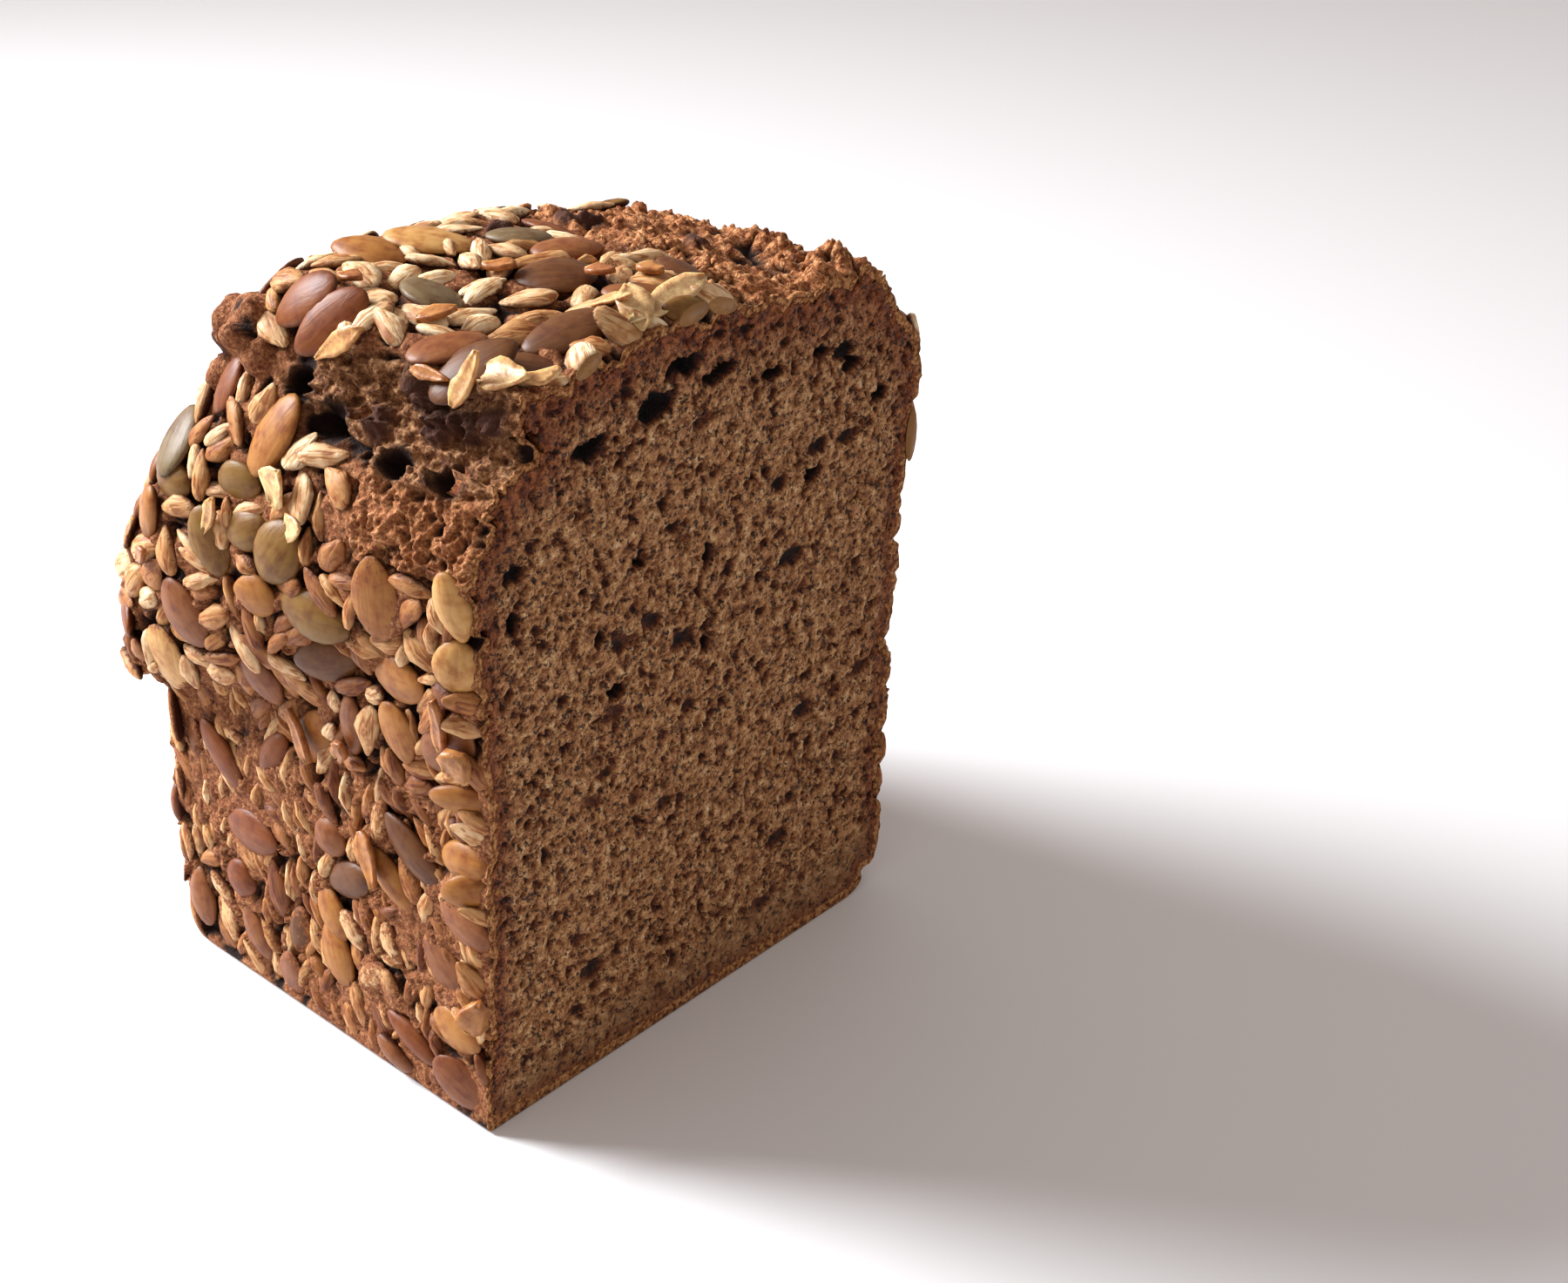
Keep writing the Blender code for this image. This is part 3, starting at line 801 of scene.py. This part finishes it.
# %% Crumb material
def moist_rye_crumb():
    """Moist rye crumb, cut: bran of 1.8 mm and grains of 0.5 mm give the grain that a knife leaves,
    dark pricks of 1 mm are painted shade for pores finer than the mesh, the deeper points get painted shade
    too, and a little light passes under the surface, which softens the shade."""
    material, tree, surface, place = new_material("moist_rye_crumb")
    dense, edge, hollow_shade = (add_node(tree, "Attribute", dict(attribute_name=name))["Fac"]
                           for name in ("dense", "edge", "hollow_shade"))
    spots = {size: add_node(tree, "TexNoise", Vector=place, Scale=1 / (size * MM), Detail=detail,
                            Roughness=rough)["Fac"]
             for size, detail, rough in ((1.8, 6.0, 0.75), (1.0, 3.0, 0.65),
                                         (0.5, 3.0, 0.7), (0.4, 3.0, 0.6))}
    bran, grains, pore_speck_shade, pore_depth_shade = (
        add_node(tree, "ValToRGB", i0=factor, stops=stops)["Color"] for factor, stops in (
            (spots[1.8], [(0.35, "#6e3d1a"), (0.45, "#b27a4a"), (0.54, "#dba672"), (0.62, "#f8cf9a"),
                          (0.7, "#ffecc8")]),
            (spots[0.5], [(0.38, "#8f6f54"), (0.49, "#ffffff")]),
            # painted shade: dark specks stand for pores finer than the mesh
            (spots[1.0], [(0.39, "#3a1c0c"), (0.46, "#ffffff")]),
            # painted shade, darker the deeper a point lies
            (hollow_shade, [(0.0, "#ffffff"), (0.12, "#efe2d2"), (0.4, "#9a6d4c"), (0.75, "#3a1a0a"),
                      (1.0, "#1a0802")])))
    colour = bran
    for how, share, coat in ((MULTIPLY, 0.7, grains), (MIX, dense, "#a47c56"), (MULTIPLY, edge, "#bd8857"),
                             (MULTIPLY, 0.85, pore_speck_shade), (MULTIPLY, 1.0, pore_depth_shade)):
        colour = add_node(tree, "Mix", how, Factor=share, i6=colour, i7=coat)[2]
    tree.links.new(colour, surface.inputs["Base Color"])
    surface.inputs["Roughness"].default_value = 0.7
    surface.inputs["Specular IOR Level"].default_value = 0.4
    surface.inputs["Subsurface Weight"].default_value = 0.05
    surface.inputs["Subsurface Radius"].default_value = (1.0, 0.55, 0.3)
    surface.inputs["Subsurface Scale"].default_value = 0.8 * MM
    rough = add_node(tree, "Math", dict(operation="ADD"), i0=spots[1.0], i1=spots[0.4])[0]
    bump = add_node(tree, "Bump", Strength=1.0, Distance=0.8 * MM, Height=rough)["Normal"]
    tree.links.new(bump, surface.inputs["Normal"])
    return material


finish_piece("crumb_face", crumb_plug(), moist_rye_crumb())

# %% [markdown]
# ## Seeds
# A hulled pumpkin seed is a flat oval, blunt at one end and pointed at the other. A sunflower kernel is a
# small fat drop with fine ridges along it. Each kind starts from a ball with its poles at the two tips. A
# handful of different seeds is shaped, and copies of them are laid in the beds, each with its own size, tilt
# and roast, and joined to one piece for each kind.

# %% Shape of a seed
def ball_along_x(around, rings):
    """A ball of radius 1 whose poles lie on the X axis."""
    bm = bmesh.new()
    bmesh.ops.create_uvsphere(bm, u_segments=around, v_segments=rings, radius=1.0)
    bmesh.ops.rotate(bm, verts=bm.verts, matrix=Matrix.Rotation(math.pi / 2, 3, "Y"))
    return bm


def shape_pumpkin(a, b, c, row):
    taper, cup, plump = row
    width = b * (1 - 0.24 * max(0.0, a) ** 1.5 * taper) * (1 + 0.08 * (1 - a * a))
    thick = c * (0.8 + 0.2 * plump) * (1 - 0.15 * abs(b))
    return a, width, thick + cup * (a * a - 0.35) * 0.3


def shape_sunflower(a, b, c, row):
    taper, cup, plump = row
    narrow = 1 - 0.45 * ease(np.array([a]), -0.2, 1.0)[0] * taper
    groove = 1 - 0.16 * math.exp(-((b / 0.22) ** 2)) * (1 - a * a)
    pinch = 1 + 0.14 * math.sin(4 * a + 9 * plump + (3 if b > 0 else 0))
    wrinkle = 1 + 0.16 * math.sin(11 * b + 5 * cup + 3 * a)
    bend = 0.18 * cup * (a * a - 0.3)
    return a, b * narrow * pinch + bend, c * narrow * groove * wrinkle * (0.85 + 0.25 * plump) + 0.1 * cup * a


def seed_template(shape, row, around, rings):
    """One seed in a box of half sizes 1."""
    bm = ball_along_x(around, rings)
    for v in bm.verts:
        v.co = shape(*v.co, row)
    mesh = bpy.data.meshes.new("seed")
    bm.to_mesh(mesh)
    bm.free()
    return mesh


# %% Copies of the seeds in their beds
def laid_seeds(kind, shape, seed_number, around, rings, tilts):
    """Copies of a few different seeds, each laid in its bed, as one bmesh."""
    rng = np.random.default_rng(seed_number)
    rows = [(rng.uniform(0.6, 1.2), rng.uniform(-1, 1), rng.uniform(0, 1)) for _ in range(16)]
    templates = [seed_template(shape, row, around, rings) for row in rows]
    bm = bmesh.new()
    for seed in (s for s in bed.seeds if s["kind"] == kind):
        copy = templates[rng.integers(len(templates))].copy()
        half = np.array(seed["size"]) / 2
        local = points_of(copy) * MM * half
        copy.attributes.new("grain", "FLOAT_VECTOR", "POINT")
        copy.attributes["grain"].data.foreach_set("vector", (local + [rng.uniform(0, 60), 0, 0]).ravel())
        store(copy, "tone", np.full(len(local), seed["tone"]))
        store(copy, "dust", np.clip(seed["dust"] - 0.55 * local[:, 2] / half[2], -0.5, 1.5))
        # painted shade on the seed's lower side, where it sinks into the dough
        store(copy, "sunk", 1 - ease(local[:, 2] / half[2], -0.35, 0.3))
        tilt = tilts[0] + (tilts[1] - tilts[0]) * seed["free"]
        basis = np.column_stack([seed["along"], np.cross(seed["normal"], seed["along"]), seed["normal"]])
        lean = np.array(Matrix.Rotation(math.radians(rng.normal(0, tilt)), 3, "X")
                        @ Matrix.Rotation(math.radians(rng.normal(0, tilt * 0.7)), 3, "Y"))
        flip = rng.choice([-1.0, 1.0])
        placed = (local * [flip, flip, 1]) @ lean.T @ basis.T + seed["place"]
        placed += seed["normal"] * (seed["stand"] - half[2])
        placed[:, 2] += max(0.0, 0.1 - placed[:, 2].min())
        over = placed[:, 0].max() - CUT + 0.1
        if 0 < over < 0.4 * np.ptp(placed[:, 0]):
            placed[:, 0] -= over  # the knife pushed it aside
        set_points(copy, placed)
        bm.from_mesh(copy)
        bpy.data.meshes.remove(copy)
    return bm


def slice_seeds(bm, proud):
    """The knife goes through the seeds too and leaves flat, closed faces a little proud of the crumb."""
    rims = knife(bm, (CUT + proud, 0, 0), (1, 0, 0))
    bmesh.ops.holes_fill(bm, edges=rims, sides=0)
    bmesh.ops.recalc_face_normals(bm, faces=bm.faces)
    return bm


# %% Seed materials
def roasted_seed(name, roast, ridge_mm, streak_share, bump_strength, roughness, inside):
    """A roasted seed's skin: its own roast tone, streaks along it that make it look dry, a satin gloss
    from its fat, a film of dough dust low on its sides that dulls the gloss, dark painted shade on its lowest
    part, where it sinks into the dough, and pale flesh where sliced."""
    material, tree, surface, place = new_material(name)
    tone, dust, sunk = (add_node(tree, "Attribute", dict(attribute_name=layer))["Fac"]
                        for layer in ("tone", "dust", "sunk"))
    grain = add_node(tree, "Attribute", dict(attribute_name="grain"))["Vector"]  # mm along the seed
    lengthwise = add_node(tree, "Mapping", Vector=grain,
                          Scale=(0.18 / ridge_mm, 1 / ridge_mm, 1 / ridge_mm))["Vector"]
    streaks = add_node(tree, "TexNoise", Vector=lengthwise, Scale=1.0, Detail=3.0, Distortion=0.8)["Fac"]
    mottle = add_node(tree, "TexNoise", Vector=grain, Scale=0.5, Detail=3.0)["Fac"]
    patches = add_node(tree, "TexNoise", Vector=grain, Scale=0.9, Detail=4.0, Roughness=0.65)["Fac"]
    flour = add_node(tree, "TexNoise", Vector=place, Scale=1 / (0.6 * MM), Detail=4.0,
                     Roughness=0.7)["Fac"]
    roasted, lines, uneven, dough = (
        add_node(tree, "ValToRGB", i0=factor, stops=stops)["Color"] for factor, stops in (
            (tone, roast),
            (streaks, [(0.36, "#b38256"), (0.46, "#f0e2cf"), (0.54, "#ffffff")]),
            (mottle, [(0.34, "#caa27a"), (0.5, "#f4e8d8"), (0.62, "#ffffff")]),
            (flour, [(0.35, "#562a14"), (0.5, "#8b5230"), (0.7, "#ba8250")])))
    dusted = add_node(tree, "Math", dict(operation="MULTIPLY_ADD"), i0=patches, i1=1.6, i2=dust)[0]
    film = add_node(tree, "MapRange", dict(interpolation_type="SMOOTHSTEP"), Value=dusted, i1=1.05,
                    i2=1.35)["Result"]
    x = add_node(tree, "SeparateXYZ", Vector=place)["X"]
    sliced = add_node(tree, "Math", dict(operation="GREATER_THAN"), i0=x, i1=(CUT + 0.02) * MM)[0]
    colour = roasted
    # the coat #3a1405 is dark painted shade on the seed's lower side
    for how, share, coat in ((MULTIPLY, streak_share, lines), (MULTIPLY, 0.8, uneven), (MIX, film, dough),
                             (MIX, sunk, "#3a1405"), (MIX, sliced, inside)):
        colour = add_node(tree, "Mix", how, Factor=share, i6=colour, i7=coat)[2]
    tree.links.new(colour, surface.inputs["Base Color"])
    gloss = add_node(tree, "MapRange", Value=film, i3=roughness, i4=0.85)["Result"]
    tree.links.new(gloss, surface.inputs["Roughness"])
    surface.inputs["IOR"].default_value = 1.47
    surface.inputs["Specular IOR Level"].default_value = 0.3
    surface.inputs["Subsurface Weight"].default_value = 0.08
    surface.inputs["Subsurface Radius"].default_value = (1.0, 0.6, 0.3)
    surface.inputs["Subsurface Scale"].default_value = 0.8 * MM
    relief = add_node(tree, "Math", dict(operation="MULTIPLY_ADD"), i0=film, i1=0.5, i2=streaks)[0]
    bump = add_node(tree, "Bump", Strength=bump_strength, Distance=0.35 * MM, Height=relief)["Normal"]
    tree.links.new(bump, surface.inputs["Normal"])
    return material


pumpkin_skin = roasted_seed("roasted_pumpkin_seed", [
    (0.0, "#725e41"), (0.17, "#7d5a25"), (0.34, "#633a16"), (0.5, "#87522b"), (0.67, "#7c4219"),
    (0.83, "#a26b30"), (1.0, "#c4965a")],
    ridge_mm=1.2, streak_share=0.3, bump_strength=0.3, roughness=0.48, inside="#8f6436")
sunflower_skin = roasted_seed("roasted_sunflower_kernel", [
    (0.0, "#7e4a26"), (0.3, "#ab7440"), (0.6, "#cfa371"), (1.0, "#f0d9b6")],
    ridge_mm=0.8, streak_share=0.9, bump_strength=0.8, roughness=0.55, inside="#9a6d3e")

# %% Lay the seeds
pumpkins = laid_seeds("pumpkin", shape_pumpkin, 11, 14, 10, (2.0, 8.0))
finish_piece("pumpkin_seeds", slice_seeds(pumpkins, 0.12), pumpkin_skin)
kernels = laid_seeds("sunflower", shape_sunflower, 12, 10, 8, (5.0, 13.0))
finish_piece("sunflower_seeds", slice_seeds(kernels, 0.1), sunflower_skin)

# %% [markdown]
# ## Husks and split seeds
# Where the knife came down it split a few seeds, and their pale halves and thin husks stick up along the
# top of the cut. Shorter shards lie among the seeds. Each is a small grid that is narrowed at both ends by
# straight, torn edges, curled across and given a little thickness.

# %% Shards
SHARDS = (  # x, y, z, turn from +X, length, width, thickness, tip's lift in degrees, tone
    (38, -3, 121.5, 95, 16, 4.5, 0.6, 8, 1.0), (37, -8, 121.5, 150, 9, 4.5, 0.5, 20, 0.9),
    (33, -9, 121.5, 10, 9, 3.0, 0.5, 25, 0.75), (37, -32, 119.5, 15, 9, 5.0, 0.7, 10, 0.8),
    (33, -35, 118.5, 75, 9, 4.0, 0.7, 22, 0.7), (41, -29, 120, 60, 6, 3.6, 0.7, 16, 0.75),
    (14, -12, 122, 40, 5, 2.6, 1.0, 5, 0.2), (3, -30, 121, 20, 4, 2.2, 0.9, 10, 0.1),
    (18, -27, 121, 60, 6, 2.4, 0.9, 14, 0.25), (26, -4, 122, 20, 5, 2.2, 0.9, 12, 0.1),
    (27, -37, 117, 5, 7, 2.2, 0.9, 4, 0.3), (12, -46, 55, 60, 5, 4.0, 1.2, 14, 0.15),
    (1, -46, 52, -50, 9, 3.0, 1.2, 8, 0.2), (9, -38, 117, 40, 11, 3.0, 0.8, 8, 0.6),
    (3, -44, 95, 60, 8, 5.5, 0.5, 22, 0.95), (8, -46, 91, 20, 6, 3.5, 0.5, 20, 0.9),
    (17, -45, 38, -60, 9, 4.0, 0.9, 10, 0.25), (35, -45, 70, 85, 10, 3.0, 1.2, 8, 0.2),
    (-9, -50, 88, 70, 7, 3.0, 0.6, 15, 0.7), (-24, -50, 76, 40, 5, 2.6, 0.9, 12, 0.2),
    (38, -45, 65, 50, 5, 4.5, 1.8, 8, 0.35), (40, -46, 22, 80, 6, 4.5, 1.8, 6, 0.3),
    (30, 2, 121, 5, 5, 3, 1, 12, 0.3))


def laid_shards():
    """All the shards as one bmesh, each leaning out of the crust."""
    bm_all = bmesh.new()
    for i, (x, y, z, turn, length, width, thick, lift, tone) in enumerate(SHARDS):
        place = np.array(skin_tree.find_nearest(Vector((x, y, z)) * MM)[0]) / MM
        normal = smooth_normal(place)
        along = turned(normal, turn)
        bm = bmesh.new()
        bmesh.ops.create_grid(bm, x_segments=6, y_segments=4, size=0.5)
        for v in bm.verts:
            a, b = v.co.x * 2, v.co.y
            torn_edge = 0.12 + 0.08 * math.sin(9 * a + 2.3 * i + (2 if b > 0 else 0))
            straight = min(1.0, 1.9 * (1 - abs(a)), 1.2 - 0.9 * a)
            taper = straight * (0.85 + 0.3 * math.sin(2 * a + i)) + torn_edge
            curl = 0.4 * b * b * width + 0.05 * width * math.sin(4 * a + i)
            v.co = Vector((a * length / 2, b * width * taper, curl))
        bmesh.ops.solidify(bm, geom=bm.faces[:], thickness=-thick)
        bmesh.ops.smooth_vert(bm, verts=bm.verts, factor=0.25, use_axis_x=True, use_axis_y=True,
                              use_axis_z=True)
        basis = np.column_stack([along, np.cross(normal, along), normal])
        lean = Matrix.Rotation(-math.radians(lift), 3, "Y")
        for v in bm.verts:
            v.co = Vector(basis @ np.array(lean @ v.co) + place + normal * 0.5) * MM
        mesh = bpy.data.meshes.new("shard")
        bm.to_mesh(mesh)
        bm.free()
        store(mesh, "tone", np.full(len(mesh.vertices), tone))
        bm_all.from_mesh(mesh)
        bpy.data.meshes.remove(mesh)
    return bm_all


# %% Husk material
def toasted_husk():
    """Toasted seed coat and flesh: thin, waxy, a little translucent, so it glows amber in the light."""
    material, tree, surface, place = new_material("toasted_seed_husk")
    tone = add_node(tree, "Attribute", dict(attribute_name="tone"))["Fac"]
    mottle, ripples = (add_node(tree, "TexNoise", Vector=place, Scale=1 / (size * MM), Detail=detail,
                                Roughness=rough)["Fac"]
                       for size, detail, rough in ((1.6, 4.0, 0.7), (0.8, 3.0, 0.6)))
    roast = add_node(tree, "ValToRGB", i0=tone, stops=[
        (0.0, "#96562a"), (0.3, "#b67a3e"), (0.6, "#cc9a5c"), (1.0, "#e6c48c")])["Color"]
    mottled = add_node(tree, "ValToRGB", i0=mottle, stops=[(0.35, "#a4693a"), (0.6, "#ffffff")])["Color"]
    colour = add_node(tree, "Mix", MULTIPLY, Factor=0.7, i6=roast, i7=mottled)[2]
    tree.links.new(colour, surface.inputs["Base Color"])
    surface.inputs["Roughness"].default_value = 0.42
    surface.inputs["IOR"].default_value = 1.46
    surface.inputs["Subsurface Weight"].default_value = 0.35
    surface.inputs["Subsurface Radius"].default_value = (1.0, 0.6, 0.25)
    surface.inputs["Subsurface Scale"].default_value = 1.2 * MM
    bump = add_node(tree, "Bump", Strength=0.4, Distance=0.3 * MM, Height=ripples)["Normal"]
    tree.links.new(bump, surface.inputs["Normal"])
    return material


finish_piece("split_seeds_and_husks", slice_seeds(laid_shards(), 0.6), toasted_husk())
